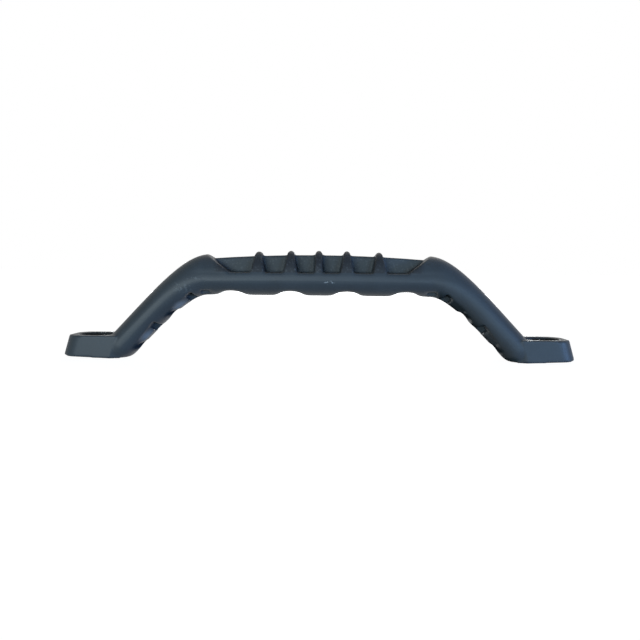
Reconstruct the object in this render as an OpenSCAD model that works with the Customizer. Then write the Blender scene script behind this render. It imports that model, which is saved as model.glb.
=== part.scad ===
// Grab handle for a kiteboard: one moulded arch with a finger grip between two slotted feet.
// Frame: origin on the board plane midway between the feet, +X along the handle, +Z up.

/* [Overall] */

// Length between the slanted foot ends, both carried down to the board plane
overall_length = 252; // [240:1:280]
// Distance from each foot end in to the start of the straight grip
leg_reach = 70.5; // [67:0.5:73]
// Height of the hand gap under the finger lands of the grip
hand_clearance = 31.6; // [28:0.2:36]

/* [Grip] */

// Diameter of the grip at its middle, also its depth
grip_diameter = 22; // [21:0.5:24]
// Radius of the gentle crown along the top of the grip
crown_radius = 700; // [500:50:1500]
// Place of the inner pair of finger scallops, as a share of half the grip
scallop_inner_share = 0.252; // [0.24:0.002:0.27]
// Place of the outer pair of finger scallops, as a share of half the grip
scallop_outer_share = 0.778; // [0.76:0.002:0.79]
// Radius of each scallop
scallop_radius = 12.5; // [11:0.5:16]
// Depth of each scallop
scallop_depth = 2.5; // [1:0.1:3]

/* [Cored top] */

// Distance from the end of the straight grip to the cored-out floor
core_end_setback = 12.2; // [11:0.1:14]
// Slope of the run-out at each end of the cored-out top
core_end_slope = 37; // [32:1:45]
// Thickness of the web left along the middle of the top
web_thickness = 3.6; // [2.4:0.2:5]
// Height of the ribs above the web
rib_rise = 2.2; // [1:0.1:3]
// Thickness of each rib at its rounded top
rib_top_width = 3.6; // [3:0.1:4.2]
// Thickness of the four outer ribs where they meet the web root
rib_root_width = 6.6; // [6:0.1:8]
// Setback of the rib ends from the round of the grip, at its front and back
rib_inset = 0.3; // [0.2:0.1:1]
// Place of the inner pair of ribs, as a share of half the cored-out floor
rib_inner_share = 0.318; // [0.3:0.002:0.34]
// Place of the outer pair of ribs, as a share of half the cored-out floor
rib_outer_share = 0.684; // [0.66:0.002:0.71]

/* [Legs] */

// Distance from each foot end to where the leg meets the top of the foot
end_to_leg = 23; // [22.2:0.2:24]
// Slope of each leg where it meets its foot
leg_angle = 46.5; // [44:0.5:48]
// Pull of the shoulder curve, larger makes a fuller shoulder
shoulder_pull = 12.5; // [10:0.5:16]
// Pull of the upper leg curve, larger keeps the leg straight for longer
leg_pull = 28; // [22:0.5:30]
// Pull of the bend under the shoulder
bend_pull = 9; // [7:0.5:12]
// Pull of the leg underside curve
underside_pull = 17.5; // [14:0.5:20]
// Radius of the heel under each leg
heel_radius = 7; // [6:0.5:9]
// Distance from each foot end to where the heel curve runs into the sole
end_to_heel = 28; // [27:0.2:29]
// Squareness of the leg section, two is an ellipse
leg_squareness = 2.5; // [2:0.1:3.2]

/* [Leg pockets] */

// Place of the lower pocket along the leg underside, as a fraction
pocket_low_at = 0.74; // [0.72:0.01:0.76]
// Place of the upper pocket along the leg underside, as a fraction
pocket_high_at = 0.31; // [0.29:0.01:0.33]
// Length of each leg pocket
pocket_length = 13; // [11:0.5:14]
// Depth of each leg pocket at its middle, square to the leg underside
pocket_depth = 2.5; // [1.5:0.1:2.8]
// Tilt of the pocket ceiling, which makes each pocket deepest at its upper end
pocket_tilt = 7; // [0:0.5:8]
// Thickness of the web between the front and back pockets
pocket_web = 9; // [7:0.2:11]
// Length of the deep well at the upper end of each pocket
well_length = 4.4; // [3:0.2:5]
// Thickness of the wall between the front and back wells
well_web = 2; // [1.6:0.2:3]
// Length of the small pocket under each shoulder
notch_length = 5; // [4:0.2:6]
// Height of the small pocket under each shoulder
notch_height = 2.6; // [2:0.1:3]
// Thickness of the web between the front and back of that small pocket
notch_web = 8; // [6:0.2:9]
// Distance from the lower end of each pocket to the dip across the leg underside
pocket_to_dip = 1.8; // [1:0.2:2.4]
// Depth of that dip
dip_depth = 0.8; // [0.4:0.1:1]
// Radius of that dip
dip_radius = 7; // [5:0.5:10]

/* [Feet] */

// Height of each foot above the board
foot_height = 11; // [10.4:0.2:11.6]
// Depth of each foot, front to back
foot_depth = 22; // [21:0.2:22.2]
// Slant of each foot end from the upright
foot_end_slant = 16; // [12:1:20]
// Radius of the outer foot corners
foot_corner_radius = 7; // [4:0.5:9]
// Rise of each sole towards its outer end, as an angle
sole_tilt = 2.5; // [0.5:0.5:3]
// Distance from each foot end to the centre of its mounting slot
end_to_slot = 15; // [14.5:0.1:15.5]
// Shank diameter of the fixing that the slot takes
fixing_diameter = 6; // [5:0.5:6]
// Head diameter of the fixing that the counterbore takes
fixing_head_diameter = 14; // [12:0.5:14]
// Clearance around the shank, on the diameter
shank_clearance = 0.6; // [0.3:0.1:1]
// Clearance around the head, on the diameter
head_clearance = 0.5; // [0.3:0.1:1]
// Sideways travel that each slot gives its fixing
slot_travel = 3; // [2:0.5:3.5]
// Depth of the counterbore below the top of the foot
counterbore_depth = 4.5; // [3:0.5:6]

/* [Hidden] */

// Points around each section of the arch, a multiple of four
ring_points = 40;
// Steps along half the grip, along a leg and around a heel
grip_steps = 5;
leg_steps = 18;
heel_steps = 8;
// Facets that stand for a true circle
round_fn = 96;
// Overlap of pieces that grow together, and overrun of cutting shapes
overlap = 0.5;
overrun = 6;
// How far the arch dips below the board plane before the sole is cut flat
sole_dip = 0.6;
// How far the leg section stands proud of the flat foot face, on each side
leg_proud = 0.15;
// How far the arch end sinks in below the foot face
end_sink = 0.9;
// Length of the heel that runs on inside the foot
heel_run = 8;
// How far the round of the rib ends passes above the rib tops
dome_gap = 0.15;
// Inset of the foot end that is buried in the leg, and the length of that taper
buried_inset = 2;
buried_taper = 4;

grip_radius = grip_diameter / 2;
grip_z = hand_clearance + grip_radius;
foot_end_x = overall_length / 2;
slot_x = foot_end_x - end_to_slot;
leg_root_x = foot_end_x - end_to_leg;
heel_x = foot_end_x - end_to_heel;
grip_half = foot_end_x - leg_reach;
core_floor_half = grip_half - core_end_setback;
leg_half_depth = foot_depth / 2 + leg_proud;
slot_radius = (fixing_diameter + shank_clearance) / 2;
counterbore_radius = (fixing_head_diameter + head_clearance) / 2;
scallop_shares = [-scallop_outer_share, -scallop_inner_share, scallop_inner_share, scallop_outer_share];
rib_shares = [-rib_outer_share, -rib_inner_share, 0, rib_inner_share, rib_outer_share];

// Height of the crown of the grip above the board at a distance x from the middle
function crown_z(x) = grip_z + grip_radius - crown_radius + sqrt(crown_radius * crown_radius - x * x);

// Point at t on the cubic curve through a and d with handles b and c
function curve_at(a, b, c, d, t) =
    pow(1 - t, 3) * a + 3 * pow(1 - t, 2) * t * b + 3 * (1 - t) * t * t * c + t * t * t * d;

// Direction of that curve at t
function curve_dir(a, b, c, d, t) =
    pow(1 - t, 2) * (b - a) + 2 * (1 - t) * t * (c - b) + t * t * (d - c);

// Outer leg curve, from the shoulder to the top of the foot
leg_down = [cos(leg_angle), -sin(leg_angle)];
crown_tilt = asin(grip_half / crown_radius);
outer_a = [grip_half, crown_z(grip_half)];
outer_b = outer_a + shoulder_pull * [cos(crown_tilt), -sin(crown_tilt)];
outer_d = [leg_root_x, foot_height];
outer_c = outer_d - leg_pull * leg_down;

// Inner leg curve, from the grip underside to the start of the heel
heel_center = [heel_x, heel_radius - sole_dip];
inner_a = [grip_half, hand_clearance];
inner_b = inner_a + [bend_pull, 0];
inner_d = heel_center - heel_radius * [sin(leg_angle), cos(leg_angle)];
inner_c = inner_d - underside_pull * leg_down;

function outer_leg(t) = curve_at(outer_a, outer_b, outer_c, outer_d, t);
function inner_leg(t) = curve_at(inner_a, inner_b, inner_c, inner_d, t);
function inner_slope(t) =
    let (d = curve_dir(inner_a, inner_b, inner_c, inner_d, t))
    atan2(-d[1], d[0]);

// Stations along half the arch, each with its outer point, inner point, half depth and squareness
function grip_station(t) =
    [[grip_half * t, crown_z(grip_half * t)], [grip_half * t, hand_clearance], grip_radius, 2];
function leg_station(t) =
    [outer_leg(t), inner_leg(t), grip_radius + (leg_half_depth - grip_radius) * t,
        2 + (leg_squareness - 2) * sqrt(t)];
function heel_station(t) =
    let (turn = leg_angle * max(0, 1 - 1.5 * t))
    let (run = heel_run * max(0, 3 * t - 2))
    [outer_d + t * [leg_root_x - heel_x, -foot_height / 3],
        heel_center - heel_radius * [sin(turn), cos(turn)] + [run, 0],
        leg_half_depth - end_sink * t, leg_squareness];
half_stations = concat(
    [for (i = [0:grip_steps]) grip_station(i / grip_steps)],
    [for (i = [1:leg_steps]) leg_station(i / leg_steps)],
    [for (i = [1:heel_steps]) heel_station(i / heel_steps)]);
last_station = len(half_stations) - 1;

// Rounded section of the arch at a station, mirrored for the negative side
function bulge(v, squareness) = sign(v) * pow(abs(v), 2 / squareness);
function ring(s, side) = [for (k = [0:ring_points - 1])
    let (turn = 360 * k / ring_points)
    let (middle = (s[0] + s[1]) / 2)
    let (reach = (s[0] - s[1]) / 2 * bulge(sin(turn), s[3]))
    [side * (middle[0] + reach[0]), s[2] * bulge(cos(turn), s[3]), middle[1] + reach[1]]];

module arch() {
    rings = [for (i = [-last_station:last_station]) ring(half_stations[abs(i)], i < 0 ? -1 : 1)];
    bands = len(rings) - 1;
    skin = [for (i = [0:bands - 1], k = [0:ring_points - 1])
        let (a = i * ring_points + k)
        let (b = i * ring_points + (k + 1) % ring_points)
        each [[b, a, b + ring_points], [b + ring_points, a, a + ring_points]]];
    first_cap = [for (k = [0:ring_points - 1]) k];
    last_cap = [for (k = [ring_points - 1:-1:0]) bands * ring_points + k];
    polyhedron(points = [for (r = rings) each r], faces = concat(skin, [first_cap, last_cap]));
}

// Outline of a foot seen square to its slanted end, with x = 0 at that end
module foot_outline() {
    length = (foot_end_x - heel_x - buried_taper) * cos(foot_end_slant);
    half = foot_depth / 2;
    corner = half - foot_corner_radius;
    square_end = length - foot_corner_radius;
    translate([-length, -half])
        square([square_end, foot_depth]);
    translate([-foot_corner_radius * 2, -corner])
        square([foot_corner_radius * 2, corner * 2]);
    for (side = [-1, 1])
        translate([-foot_corner_radius, side * corner])
            circle(r = foot_corner_radius, $fn = round_fn);
    polygon([[-length, -half], [-length, half],
        [-length - buried_taper, half - buried_inset], [-length - buried_taper, buried_inset - half]]);
}

// Foot on the positive side, run past the sole so that one cut makes it flat
module foot() {
    reach = foot_height * 2;
    intersection() {
        translate([foot_end_x, 0, 0])
            rotate([0, -foot_end_slant, 0])
                translate([0, 0, -reach])
                    linear_extrude(height = reach * 2)
                        foot_outline();
        translate([0, -foot_depth, -overrun / 2])
            cube([overall_length, foot_depth * 2, foot_height + overrun / 2]);
    }
}

// Upright stadium shape centred on a mounting slot, from one height to another
module slot_shape(radius, low, high) {
    translate([-slot_travel / 2, -radius, low])
        cube([slot_travel, radius * 2, high - low]);
    for (side = [-1, 1])
        translate([side * slot_travel / 2, 0, low])
            cylinder(r = radius, h = high - low, $fn = round_fn);
}

// Everything below the tilted sole of the foot on the positive side
module sole_cut() {
    translate([heel_x, -foot_depth, 0])
        rotate([0, -sole_tilt, 0])
            translate([0, 0, -overrun])
                cube([overall_length, foot_depth * 2, overrun]);
}

// Through slot and counterbore of the foot on the positive side
module foot_slot() {
    translate([slot_x, 0, 0]) {
        slot_shape(slot_radius, -overrun, foot_height);
        slot_shape(counterbore_radius, foot_height - counterbore_depth, foot_height + overrun);
    }
}

// Everything that the cored-out top takes away from the grip
module core_space() {
    rise = grip_radius + overrun;
    rotate([90, 0, 0])
        linear_extrude(height = grip_diameter * 2, center = true)
            polygon([[-core_floor_half, grip_z], [core_floor_half, grip_z],
                [core_floor_half + rise / tan(core_end_slope), grip_z + rise],
                [-core_floor_half - rise / tan(core_end_slope), grip_z + rise]]);
}

// Web along the middle of the top, with a crown below the tops of the ribs
module top_web() {
    root_z = grip_z - overlap * 2;
    step = grip_half / grip_steps;
    rotate([90, 0, 0])
        linear_extrude(height = web_thickness, center = true)
            polygon(concat([[grip_half, root_z], [-grip_half, root_z]],
                [for (i = [-grip_steps:grip_steps]) [step * i, crown_z(step * i) - rib_rise]]));
}

// Fin across the web with a domed top, its front and back ends rounded like the grip
module rib(x, root_width) {
    top_z = crown_z(x);
    neck_z = top_z - rib_top_width / 2;
    root_z = grip_z - overlap;
    end_radius = grip_radius - rib_inset;
    intersection() {
        rotate([90, 0, 0])
            linear_extrude(height = grip_diameter * 2, center = true) {
                polygon([[x - root_width / 2, root_z], [x + root_width / 2, root_z],
                    [x + rib_top_width / 2, neck_z], [x - rib_top_width / 2, neck_z]]);
                translate([x, neck_z])
                    circle(d = rib_top_width, $fn = round_fn);
            }
        translate([x - root_width, 0, top_z + dome_gap - end_radius])
            rotate([0, 90, 0])
                cylinder(r = end_radius, h = root_width * 2, $fn = round_fn);
    }
}

// Finger scallops across the underside of the grip
module scallops() {
    for (share = scallop_shares)
        translate([share * grip_half, 0, hand_clearance + scallop_depth - scallop_radius])
            rotate([90, 0, 0])
                cylinder(r = scallop_radius, h = grip_diameter * 2, center = true, $fn = round_fn);
}

// Front and back pockets under the positive leg, and the dip below them, at a place along its underside
module leg_pocket(at) {
    place = inner_leg(at);
    half = pocket_length / 2;
    reach = grip_diameter;
    translate([place[0], 0, place[1]])
        rotate([0, inner_slope(at), 0]) {
            translate([half + pocket_to_dip, 0, dip_depth - dip_radius])
                rotate([90, 0, 0])
                    cylinder(r = dip_radius, h = reach * 2, center = true, $fn = round_fn);
            for (side = [0, 1])
                mirror([0, side, 0])
                    rotate([0, pocket_tilt, 0]) {
                        translate([-half, pocket_web / 2, -overrun])
                            cube([pocket_length, reach, overrun + pocket_depth]);
                        translate([-half, well_web / 2, -overrun])
                            cube([well_length, reach, overrun + pocket_depth]);
                    }
        }
}

// Small pockets under the positive shoulder, front and back
module shoulder_notch() {
    for (side = [0, 1])
        mirror([0, side, 0])
            translate([grip_half - notch_length / 2, notch_web / 2, hand_clearance - overrun])
                cube([notch_length, grip_diameter, overrun + notch_height]);
}

module grab_handle() {
    color([0.1, 0.12, 0.13]) {
        difference() {
            union() {
                arch();
                foot();
                mirror([1, 0, 0])
                    foot();
            }
            translate([-overall_length, -foot_depth, -overrun])
                cube([overall_length * 2, foot_depth * 2, overrun]);
            core_space();
            scallops();
            for (side = [0, 1])
                mirror([side, 0, 0]) {
                    sole_cut();
                    foot_slot();
                    leg_pocket(pocket_low_at);
                    leg_pocket(pocket_high_at);
                    shoulder_notch();
                }
        }
        top_web();
        for (share = rib_shares)
            rib(share * core_floor_half, share == 0 ? rib_top_width : rib_root_width);
    }
}

grab_handle();
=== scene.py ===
"""Looks of the moulded grab handle: soft-edged skin over the CAD form, matte nylon, white studio."""

import math

import bmesh
import bpy
from mathutils import Matrix, Vector


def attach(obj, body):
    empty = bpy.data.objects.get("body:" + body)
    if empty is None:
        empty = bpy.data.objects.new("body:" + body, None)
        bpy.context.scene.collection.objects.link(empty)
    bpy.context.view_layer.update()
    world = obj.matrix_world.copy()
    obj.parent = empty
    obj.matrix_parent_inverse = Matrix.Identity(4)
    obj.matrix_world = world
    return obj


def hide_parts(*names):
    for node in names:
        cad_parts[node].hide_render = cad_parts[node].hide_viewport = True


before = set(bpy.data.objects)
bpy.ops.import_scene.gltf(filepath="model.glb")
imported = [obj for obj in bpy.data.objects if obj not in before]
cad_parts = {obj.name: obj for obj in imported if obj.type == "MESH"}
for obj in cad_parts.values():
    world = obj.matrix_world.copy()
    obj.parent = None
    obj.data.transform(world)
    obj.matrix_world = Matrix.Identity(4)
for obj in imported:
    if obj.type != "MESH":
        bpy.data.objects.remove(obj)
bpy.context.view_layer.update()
scene = bpy.context.scene
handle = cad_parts["grab_handle"]

# Skin: the CAD form remeshed evenly, with its edges eased as a mould leaves them
WELD_GAP = 1e-6
VOXEL = 0.00055
EASE_SHARE = 0.5
EASE_ROUNDS = 4
# Growth that makes up for what the easing takes off
GROWTH = 0.0002

# Grip: middle height and radius of its round, and the lower height at which it is widest
GRIP_MIDDLE = 0.0426
GRIP_RADIUS = 0.011
GRIP_WIDEST = 0.0397
# Share of the radius, short of the very bottom, down to which the fuller depth is worked out
GRIP_LOWEST = 0.99
# Half the run of the grip, and the length over which its fuller depth fades out
GRIP_HALF = 0.050
GRIP_FADE = 0.025

# Finger scallops, eased further: half their run along the grip, their top and the rounds
SCALLOP_HALF = 0.054
SCALLOP_TOP = 0.0372
SCALLOP_ROUNDS = 30

# Rib flanks, thinned towards their tops: by how much, and the heights between which this comes in
RIB_THIN = 0.0003
RIB_THIN_FROM = 0.0440
RIB_THIN_FULL = 0.0490

# Foot toes, drawn out a little: where this starts and ends, and by how much
TOE_FROM = 0.105
TOE_END = 0.126
TOE_DRAW = 0.0005

# Leg pockets: centre on the leg underside in x and z, and its slope there in degrees
POCKETS = [(0.08285, 0.01204, 45.2), (0.06565, 0.02726, 34.7)]
# Slanted pocket floor, from its well to its lower end: place down the leg, height and depth of the lip
FLOOR_ENDS = [(-0.0021, 0.0030, 0.0094), (0.0068, 0.0020, 0.0083)]
# Inner foot of the slanted floor: depth and height
FLOOR_FOOT = (0.0042, 0.00045)


def down_leg(slope):
    """Direction down a leg in x and z, where it slopes by so many degrees."""
    turn = math.radians(slope)
    return math.cos(turn), -math.sin(turn)


def add_pocket_floor(bm, pocket, leg, face):
    """Wedge that slants the floor of one pocket, on one leg and one face of the handle."""
    x, z, slope = pocket
    run, drop = down_leg(slope)
    foot_y, foot_height = FLOOR_FOOT
    ends = []
    for place, height, lip in FLOOR_ENDS:
        corners = []
        for y, up in ((foot_y, height), (lip, height), (foot_y, foot_height)):
            corner = (leg * (x + place * run - up * drop), face * y, z + place * drop + up * run)
            corners.append(bm.verts.new(corner))
        ends.append(corners)
    first, last = ends
    bm.faces.new(first)
    bm.faces.new(last)
    for k in range(len(first)):
        bm.faces.new([first[k], first[k - 1], last[k - 1], last[k]])


def slanted_form(source):
    """Copy of the mesh of source with the slanted pocket floors added."""
    bm = bmesh.new()
    bm.from_mesh(source.data)
    for pocket in POCKETS:
        for leg in (-1, 1):
            for face in (-1, 1):
                add_pocket_floor(bm, pocket, leg, face)
    form = bpy.data.meshes.new("skin_form")
    bm.to_mesh(form)
    bm.free()
    return form


def eased_mesh(form):
    """Even mesh over a form, with its edges eased and its size kept."""
    work = bpy.data.objects.new("skin_work", form)
    scene.collection.objects.link(work)
    weld = work.modifiers.new("weld", "WELD")
    weld.merge_threshold = WELD_GAP
    remesh = work.modifiers.new("even", "REMESH")
    remesh.mode = "VOXEL"
    remesh.voxel_size = VOXEL
    remesh.use_smooth_shade = True
    ease = work.modifiers.new("ease", "SMOOTH")
    ease.factor = EASE_SHARE
    ease.iterations = EASE_ROUNDS
    grow = work.modifiers.new("grow", "DISPLACE")
    grow.strength = GROWTH
    grow.mid_level = 0.0
    bpy.context.view_layer.update()
    graph = bpy.context.evaluated_depsgraph_get()
    mesh = bpy.data.meshes.new_from_object(work.evaluated_get(graph))
    bpy.data.objects.remove(work)
    return mesh


def smooth_step(start, end, value):
    """0 before the start and 1 past the end, with a soft run between them."""
    share = min(max((value - start) / (end - start), 0), 1)
    return share * share * (3 - 2 * share)


def grip_fullness(z):
    """Depth of the grip at a height, as a share of the plain round's depth there."""
    low = GRIP_WIDEST - (GRIP_MIDDLE - GRIP_RADIUS)
    high = 2 * GRIP_RADIUS - low
    height = min(max(z, GRIP_MIDDLE - GRIP_LOWEST * GRIP_RADIUS), GRIP_MIDDLE)
    plain = (height - GRIP_MIDDLE) / GRIP_RADIUS
    full = (height - GRIP_WIDEST) / (low if height < GRIP_WIDEST else high)
    return math.sqrt(1 - full * full) / math.sqrt(1 - plain * plain)


def shaped(point, normal):
    """Where a skin point goes: grip fuller, toes drawn out, ribs thinned, nothing below the soles."""
    x, y, z = point
    fuller = smooth_step(GRIP_HALF + GRIP_FADE, GRIP_HALF, abs(x))
    drawn = TOE_DRAW * smooth_step(TOE_FROM, TOE_END, abs(x))
    thinned = RIB_THIN * smooth_step(RIB_THIN_FROM, RIB_THIN_FULL, z) if abs(x) < GRIP_HALF else 0
    new_x = x + math.copysign(drawn, x) - thinned * normal.x
    new_y = y * (1 + fuller * (grip_fullness(z) - 1))
    return new_x, new_y, max(z, 0)


def shape_skin(mesh):
    """Ease the finger scallops further, then shape the grip, the toes and the ribs."""
    bm = bmesh.new()
    bm.from_mesh(mesh)
    scallops = [v for v in bm.verts if abs(v.co.x) < SCALLOP_HALF and v.co.z < SCALLOP_TOP]
    for _ in range(SCALLOP_ROUNDS):
        bmesh.ops.smooth_vert(
            bm, verts=scallops, factor=EASE_SHARE, use_axis_x=True, use_axis_y=True, use_axis_z=True
        )
    bm.normal_update()
    for vertex in bm.verts:
        vertex.co = shaped(vertex.co, vertex.normal)
    bm.to_mesh(mesh)
    bm.free()


def eased_skin(source):
    """New object with the form of source, slanted pocket floors, a fuller grip and soft edges."""
    mesh = eased_mesh(slanted_form(source))
    shape_skin(mesh)
    mesh.name = "handle_skin"
    mesh.materials.clear()
    mesh.shade_smooth()
    skin = bpy.data.objects.new("handle_skin", mesh)
    scene.collection.objects.link(skin)
    return skin


# Share of its reach within which a patch on the surface is full
PATCH_CORE = 0.2


class Nodes:
    """Short way to add and link shader nodes in one tree."""

    def __init__(self, tree):
        self.tree = tree
        tree.nodes.clear()

    def add(self, kind, **values):
        node = self.tree.nodes.new(kind)
        for name, value in values.items():
            setattr(node, name, value)
        return node

    def put(self, socket, value):
        """Link an output to the socket, or set a plain number, colour or vector on it."""
        if isinstance(value, bpy.types.NodeSocket):
            self.tree.links.new(value, socket)
        elif isinstance(value, tuple) and socket.type == "RGBA":
            socket.default_value = (*value, 1.0)
        else:
            socket.default_value = value

    def math(self, operation, a, b=0.0, clamp=False):
        node = self.add("ShaderNodeMath", operation=operation, use_clamp=clamp)
        self.put(node.inputs[0], a)
        self.put(node.inputs[1], b)
        return node.outputs[0]

    def product(self, a, b):
        return self.math("MULTIPLY", a, b)

    def most(self, values):
        total = values[0]
        for value in values[1:]:
            total = self.math("MAXIMUM", total, value)
        return total

    def vector(self, operation, a, b=(0.0, 0.0, 0.0)):
        node = self.add("ShaderNodeVectorMath", operation=operation)
        self.put(node.inputs[0], a)
        self.put(node.inputs[1], b)
        return node.outputs["Value" if operation == "LENGTH" else "Vector"]

    def split(self, vector):
        """The x, y and z of a vector."""
        node = self.add("ShaderNodeSeparateXYZ")
        self.put(node.inputs[0], vector)
        return tuple(node.outputs)

    def noise(self, vector, scale, detail, roughness):
        node = self.add("ShaderNodeTexNoise")
        self.put(node.inputs["Vector"], vector)
        self.put(node.inputs["Scale"], scale)
        self.put(node.inputs["Detail"], detail)
        self.put(node.inputs["Roughness"], roughness)
        return node.outputs["Fac"]

    def ramp(self, value, low, high, start=0.0, end=1.0):
        """Soft run from start to end while the value goes from low to high."""
        node = self.add("ShaderNodeMapRange", interpolation_type="SMOOTHSTEP")
        self.put(node.inputs["Value"], value)
        self.put(node.inputs["From Min"], low)
        self.put(node.inputs["From Max"], high)
        self.put(node.inputs["To Min"], start)
        self.put(node.inputs["To Max"], end)
        return node.outputs["Result"]

    def mix(self, factor, a, b):
        """Colour a where the factor is 0 and colour b where it is 1."""
        node = self.add("ShaderNodeMix", data_type="RGBA")
        colours = [s for s in node.inputs if s.type == "RGBA"]
        self.put(node.inputs[0], factor)
        self.put(colours[0], a)
        self.put(colours[1], b)
        return [s for s in node.outputs if s.type == "RGBA"][0]

    def near(self, point, centre, reach):
        """1 around a centre on the object, falling to 0 at the reach given along each axis."""
        away = self.vector("DIVIDE", self.vector("SUBTRACT", point, centre), reach)
        return self.ramp(self.vector("LENGTH", away), 1.0, PATCH_CORE)


# Nylon: even colour, duller and paler patches, scuffs, painted light on pocket floors, painted shade on
# ribs
NYLON = (0.023, 0.029, 0.035)
NYLON_DULL = (0.019, 0.024, 0.029)
NYLON_PALE = (0.065, 0.070, 0.075)
NYLON_SCUFFED = (0.24, 0.25, 0.26)
NYLON_PAINTED_LIGHT = (0.108, 0.128, 0.150)
NYLON_RIB_SHADE_PAINTED = (0.011, 0.013, 0.016)

# Noises in the nylon: scale, detail and roughness
GRAIN = (1500.0, 3.0, 0.6)
SPECK = (900.0, 1.0, 0.5)
BLOTCH = (55.0, 4.0, 0.6)
STREAK = (320.0, 3.0, 0.6)

# Values of a noise or of the edge sharpness between which a pattern comes in
BLOTCH_RANGE = (0.3, 0.7)
FLECK_RANGE = (0.55, 0.72)
SCUFF_RANGE = (0.50, 0.62)
STREAK_RANGE = (0.42, 0.66)
EDGE_RANGE = (0.53, 0.60)

# Strength of the flecks, what the cored-out top adds to it, and the strength of the rubbed edges
FLECKS = 0.05
FLECKS_CORED = 0.25
RUBBED = 0.4

# Sheen and roughness, with what blotches, the cored-out top and the wells add to the roughness
SHEEN = 0.14
ROUGH = 0.40
ROUGH_BLOTCH = 0.10
ROUGH_CORED = 0.10
ROUGH_WELL = 0.5

# Grain as relief: its depth, its strength and what the cored-out top adds to it
GRAIN_DEPTH = 0.0001
GRAIN_STRENGTH = 0.25
GRAIN_CORED = 0.35

# Cored-out top, where the moulding is coarser: its foot and half its run, with their soft edges
CORE_FLOOR = GRIP_MIDDLE
CORE_FLOOR_SOFT = 0.0008
CORE_HALF = 0.052
CORE_HALF_SOFT = 0.004
# Half the depth past which the ribs stand out in front of the web and are darkened with painted shade
RIB_FROM = 0.0024
# Height from which edges are rubbed pale by hands, with its soft edge
RUBBED_FROM = 0.038
RUBBED_SOFT = 0.003

# Half the depth within which the pockets' wells are rough, and how far from the middle the legs start
WELL_DEPTH = 0.003
LEG_FROM = 0.056
# Soft edge of the wells and the ribs, and of the dull underside
SOFT = 0.001
UNDERSIDE_SOFT = 0.004
# Lower end walls of the pockets, left dull: distance down the leg from the pocket's centre, and reach
END_WALL = 0.0095
END_REACH = (0.005, 0.030, 0.005)
# Shares of the normal between which a face comes to point to the front or back, sideways, or down
FACING_FRONT = (0.4, 0.7)
FACING_SIDE = (0.75, 0.45)
FACING_DOWN = (-0.35, -0.75)

# Painted light on pocket floors on the front of one leg, each as its centre, with their reach along
# each axis
PAINTED_LIT_FLOORS = [(-0.0837, -0.0060, 0.0098), (-0.0674, -0.0060, 0.0251)]
PAINTED_LIT_REACH = (0.0058, 0.0055, 0.0058)

# Scuffs, each as its centre, its reach along each axis and its strength
SCUFFS = [
    ((0.0053, -0.0105, 0.0383), (0.0032, 0.0040, 0.0011), 1.0),
    ((-0.0660, -0.0100, 0.0355), (0.0070, 0.0060, 0.0036), 0.11),
    ((-0.0600, -0.0100, 0.0397), (0.0060, 0.0060, 0.0012), 0.11),
]


class Place:
    """Where a point of the handle lies and how it faces, as sockets of one node tree."""

    def __init__(self, n):
        coordinates = n.add("ShaderNodeTexCoord")
        self.point = coordinates.outputs["Object"]
        self.mirrored = n.vector("ABSOLUTE", self.point)
        self.x, _, self.z = n.split(self.point)
        self.half_x, self.half_y, _ = n.split(self.mirrored)
        _, self.facing_y, self.facing_z = n.split(coordinates.outputs["Normal"])
        self.sharp = n.add("ShaderNodeNewGeometry").outputs["Pointiness"]


def cored_mask(n, at):
    """1 in the cored-out top of the grip."""
    above = n.ramp(at.z, CORE_FLOOR, CORE_FLOOR + CORE_FLOOR_SOFT)
    inside = n.ramp(at.half_x, CORE_HALF, CORE_HALF - CORE_HALF_SOFT)
    return n.product(above, inside)


def well_mask(n, at):
    """1 on the inner faces of the wells in the leg pockets."""
    deep = n.ramp(at.half_y, WELL_DEPTH, WELL_DEPTH - SOFT)
    on_leg = n.ramp(at.half_x, LEG_FROM, LEG_FROM + SOFT)
    to_front = n.ramp(n.math("ABSOLUTE", at.facing_y), *FACING_FRONT)
    return n.product(n.product(deep, on_leg), to_front)


def dull_mask(n, at):
    """1 on the lower end walls of the pockets and on the underside of one leg."""
    walls = []
    for x, z, slope in POCKETS:
        run, drop = down_leg(slope)
        walls.append(n.near(at.mirrored, (x + END_WALL * run, 0.0, z + END_WALL * drop), END_REACH))
    sideways = n.ramp(n.math("ABSOLUTE", at.facing_y), *FACING_SIDE)
    down = n.ramp(at.facing_z, *FACING_DOWN)
    one_leg = n.ramp(at.x, LEG_FROM, LEG_FROM + UNDERSIDE_SOFT)
    return n.most([n.product(n.most(walls), sideways), n.product(down, one_leg)])


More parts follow.
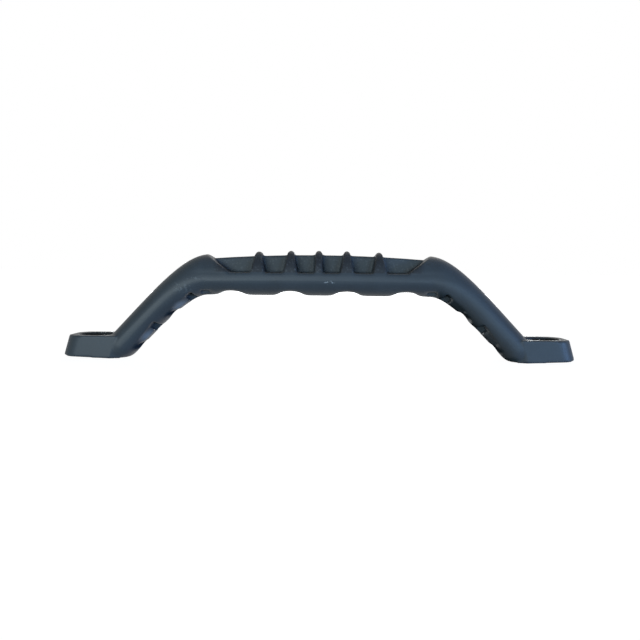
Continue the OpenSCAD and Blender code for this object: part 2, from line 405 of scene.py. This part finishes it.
def nylon_colour(n, at, cored, blotch):
    """Blotches, painted shade on the ribs, painted light on pocket floors, flecks, rubbed edges and
    scuffs.
    """
    speck = n.noise(at.point, *SPECK)
    streak = n.noise(at.point, *STREAK)
    colour = n.mix(n.ramp(blotch, *BLOTCH_RANGE), NYLON_DULL, NYLON)

    # Ribs painted darker than the web: painted shade, as their up-facing fronts take less light
    rib_shade_painted = n.product(cored, n.ramp(at.half_y, RIB_FROM, RIB_FROM + SOFT))
    colour = n.mix(rib_shade_painted, colour, NYLON_RIB_SHADE_PAINTED)

    # Pocket floors of one leg painted pale blue: painted light, as from a cool lamp low on the right
    painted_light = n.most([n.near(at.point, centre, PAINTED_LIT_REACH) for centre in PAINTED_LIT_FLOORS])
    colour = n.mix(painted_light, colour, NYLON_PAINTED_LIGHT)

    showing = n.math("ADD", FLECKS, n.product(cored, FLECKS_CORED))
    flecks = n.product(n.ramp(speck, *FLECK_RANGE), showing)
    colour = n.mix(flecks, colour, NYLON_PALE)

    rubbed = n.product(n.ramp(at.sharp, *EDGE_RANGE), n.ramp(streak, *STREAK_RANGE, 0.0, RUBBED))
    rubbed = n.product(rubbed, n.ramp(at.z, RUBBED_FROM, RUBBED_FROM + RUBBED_SOFT))
    colour = n.mix(rubbed, colour, NYLON_PALE)

    marks = []
    for centre, reach, strength in SCUFFS:
        marks.append(n.product(n.near(at.point, centre, reach), strength))
    scuffed = n.product(n.most(marks), n.ramp(speck, *SCUFF_RANGE))
    return n.mix(scuffed, colour, NYLON_SCUFFED)


def nylon():
    """Matte moulded nylon with fine grain."""
    material = bpy.data.materials.new("nylon")
    material.use_nodes = True
    n = Nodes(material.node_tree)
    at = Place(n)
    cored = cored_mask(n, at)
    blotch = n.noise(at.point, *BLOTCH)

    shader = n.add("ShaderNodeBsdfPrincipled")
    n.put(shader.inputs["Base Color"], nylon_colour(n, at, cored, blotch))
    rough = n.math("ADD", ROUGH, n.product(blotch, ROUGH_BLOTCH))
    rough = n.math("ADD", rough, n.product(cored, ROUGH_CORED))
    rough = n.math("ADD", rough, n.product(well_mask(n, at), ROUGH_WELL), clamp=True)
    n.put(shader.inputs["Roughness"], rough)
    n.put(shader.inputs["Specular IOR Level"], n.ramp(dull_mask(n, at), 0.0, 1.0, SHEEN, 0.0))

    relief = n.add("ShaderNodeBump")
    n.put(relief.inputs["Distance"], GRAIN_DEPTH)
    n.put(relief.inputs["Strength"], n.math("ADD", GRAIN_STRENGTH, n.product(cored, GRAIN_CORED)))
    n.put(relief.inputs["Height"], n.noise(at.point, *GRAIN))
    n.put(shader.inputs["Normal"], relief.outputs["Normal"])

    out = n.add("ShaderNodeOutputMaterial")
    n.put(out.inputs["Surface"], shader.outputs["BSDF"])
    return material


skin = eased_skin(handle)
skin.data.materials.append(nylon())
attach(skin, "root")
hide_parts("grab_handle")

# Room: white to the eye and in reflections, dimmer as light on the handle
ROOM_LIGHT = 0.06
ROOM_TINT = (1.0, 0.97, 0.93)
WHITE = (1.0, 1.0, 1.0)

# Floor: its side, the light it throws on the handle, and how it takes shadows where it is seen
FLOOR_SIDE = 12.0
FLOOR_BOUNCE = (0.03, 0.03, 0.03)
FLOOR_SHADE = (0.24, 0.24, 0.24)
# Glow of the floor close to the handle and far off, and the distances between which it grows
FLOOR_GLOW = (0.96, 1.0)
FLOOR_GLOW_RANGE = (0.2, 0.7)
# The floor lies a hair below the soles, so that no two faces coincide
FLOOR_DROP = 0.0001


def seen(n):
    """1 for rays that show a surface to the eye, directly or in a reflection."""
    path = n.add("ShaderNodeLightPath")
    ways = ("Is Camera Ray", "Is Glossy Ray", "Is Transmission Ray")
    return n.most([path.outputs[way] for way in ways])


def blend_seen(n, out, lighting, look):
    """Use one shader as light on the object and the other where the surface is seen."""
    mix = n.add("ShaderNodeMixShader")
    n.put(mix.inputs["Fac"], seen(n))
    n.put(mix.inputs[1], lighting)
    n.put(mix.inputs[2], look)
    n.put(out.inputs["Surface"], mix.outputs[0])


def floor_white():
    material = bpy.data.materials.new("floor_white")
    material.use_nodes = True
    n = Nodes(material.node_tree)
    bounce = n.add("ShaderNodeBsdfDiffuse")
    n.put(bounce.inputs["Color"], FLOOR_BOUNCE)
    shade = n.add("ShaderNodeBsdfDiffuse")
    n.put(shade.inputs["Color"], FLOOR_SHADE)
    away = n.vector("LENGTH", n.add("ShaderNodeTexCoord").outputs["Object"])
    glow = n.add("ShaderNodeEmission")
    n.put(glow.inputs["Strength"], n.ramp(away, *FLOOR_GLOW_RANGE, *FLOOR_GLOW))
    look = n.add("ShaderNodeAddShader")
    n.put(look.inputs[0], shade.outputs[0])
    n.put(look.inputs[1], glow.outputs[0])
    blend_seen(n, n.add("ShaderNodeOutputMaterial"), bounce.outputs[0], look.outputs[0])
    return material


def white_room():
    world = bpy.data.worlds.new("room")
    world.use_nodes = True
    n = Nodes(world.node_tree)
    room = n.add("ShaderNodeBackground")
    n.put(room.inputs["Color"], ROOM_TINT)
    n.put(room.inputs["Strength"], ROOM_LIGHT)
    white = n.add("ShaderNodeBackground")
    n.put(white.inputs["Color"], WHITE)
    n.put(white.inputs["Strength"], 1.0)
    blend_seen(n, n.add("ShaderNodeOutputWorld"), room.outputs[0], white.outputs[0])
    return world


bpy.ops.mesh.primitive_plane_add(size=FLOOR_SIDE, location=(0, 0, -FLOOR_DROP))
floor = bpy.context.object
floor.name = "floor"
floor.data.materials.append(floor_white())

scene.world = white_room()


def area(name, place, aim, width, height, power, colour):
    """Rectangular lamp at a place, turned to what it aims at."""
    light = bpy.data.lights.new(name, "AREA")
    light.shape = "RECTANGLE"
    light.size = width
    light.size_y = height
    light.energy = power
    light.color = colour
    lamp = bpy.data.objects.new(name, light)
    lamp.location = place
    lamp.rotation_euler = (Vector(aim) - Vector(place)).to_track_quat("-Z", "Y").to_euler()
    scene.collection.objects.link(lamp)


# Lamps: two long soft ones in front, a cool one low on the right, and behind a warm one and a low one
area("front_left", (-0.30, -0.90, 0.04), (-0.03, 0, 0.03), 0.50, 0.07, 9.0, (0.82, 0.97, 1.0))
area("front_right", (0.38, -0.90, 0.04), (0.05, 0, 0.02), 0.32, 0.07, 4.4, (0.44, 0.71, 1.0))
area("low_right", (0.50, -0.30, 0.035), (-0.03, 0, 0.01), 0.25, 0.06, 3.4, (0.28, 0.52, 1.0))
area("back_warm", (0.05, 0.70, 0.60), (0, 0, 0.02), 0.60, 0.40, 1.3, (1.0, 0.96, 0.90))
area("back_low", (0.0, 0.90, 0.05), (0, 0, 0.03), 0.80, 0.10, 4.5, (0.90, 0.97, 1.0))

# Camera: in front of the handle, a little above it, rolled as the photo is
DISTANCE = 0.330
AZIMUTH = 0.92
ELEVATION = 4.52
ROLL = 0.575
AIM = Vector((0.0008, 0.0, 0.0193))
LENS = 37.04
SENSOR = 36.0
CLIP_START = 0.01


def photo_camera():
    data = bpy.data.cameras.new("camera")
    data.sensor_width = SENSOR
    data.lens = LENS
    data.clip_start = CLIP_START
    camera = bpy.data.objects.new("camera", data)
    scene.collection.objects.link(camera)
    swing = math.radians(AZIMUTH)
    lift = math.radians(ELEVATION)
    away = Vector((math.sin(swing) * math.cos(lift), -math.cos(swing) * math.cos(lift), math.sin(lift)))
    camera.location = AIM + DISTANCE * away
    look = (-away).to_track_quat("-Z", "Y").to_matrix()
    camera.rotation_euler = (look @ Matrix.Rotation(math.radians(ROLL), 3, "Z")).to_euler()
    return camera


scene.camera = photo_camera()

scene.view_settings.view_transform = "Standard"
